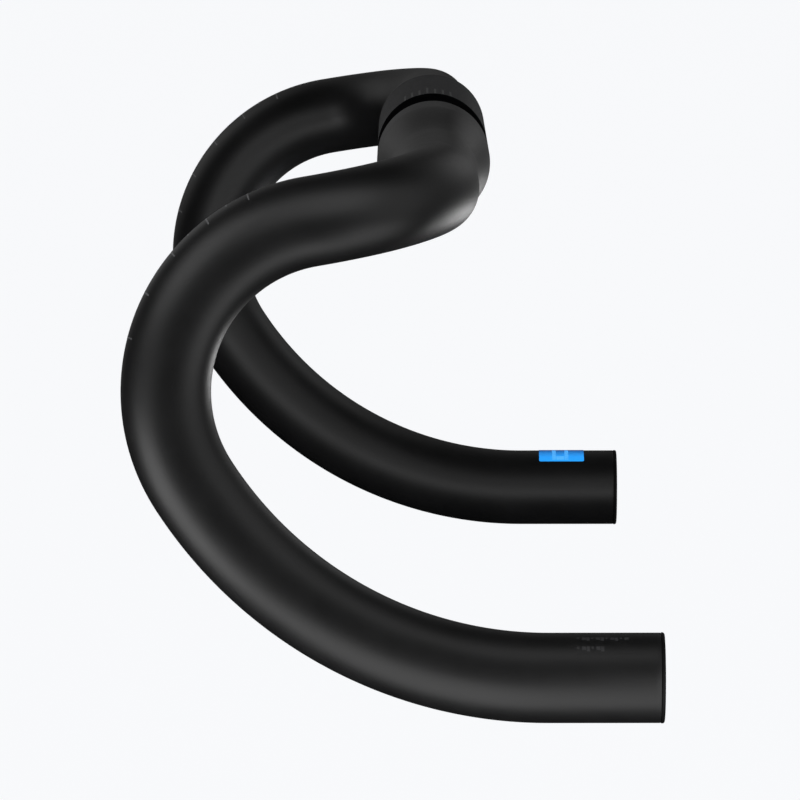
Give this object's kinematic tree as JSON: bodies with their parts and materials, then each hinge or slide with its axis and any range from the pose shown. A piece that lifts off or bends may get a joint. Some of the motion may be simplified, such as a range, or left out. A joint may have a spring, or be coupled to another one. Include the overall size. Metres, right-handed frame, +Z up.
{
  "type": "drop handlebar",
  "caption": "Road drop handlebar with a wide clamp zone, short-reach curved drops, push-in end plugs and plain printed labels.",
  "frame": {"origin": "centre of the stem clamp zone, on the tube's centreline", "axes": "+X along the straight top towards the rider's right hand, +Y forwards, +Z up; the drop ends point along -Y"},
  "size_m": [0.4442, 0.1429, 0.1539],
  "materials": {
    "bar_finish": "satin",
    "plug_plastic": "matte",
    "size_label_vinyl": "gloss",
    "spec_label_vinyl": "satin"
  },
  "bodies": {
    "bar": {"bar_tube": "bar_finish", "size_label": "size_label_vinyl", "spec_label": "spec_label_vinyl"},
    "left_plug": {"left_end_plug": "plug_plastic"},
    "right_plug": {"right_end_plug": "plug_plastic"}
  },
  "joints": [
    {"name": "left_plug_slide", "type": "slide", "parent": "bar", "child": "left_plug", "axis": [0, -1, 0], "range_m": [0, 0.022]},
    {"name": "right_plug_slide", "type": "slide", "parent": "bar", "child": "right_plug", "axis": [0, -1, 0], "range_m": [0, 0.022]}
  ]
}
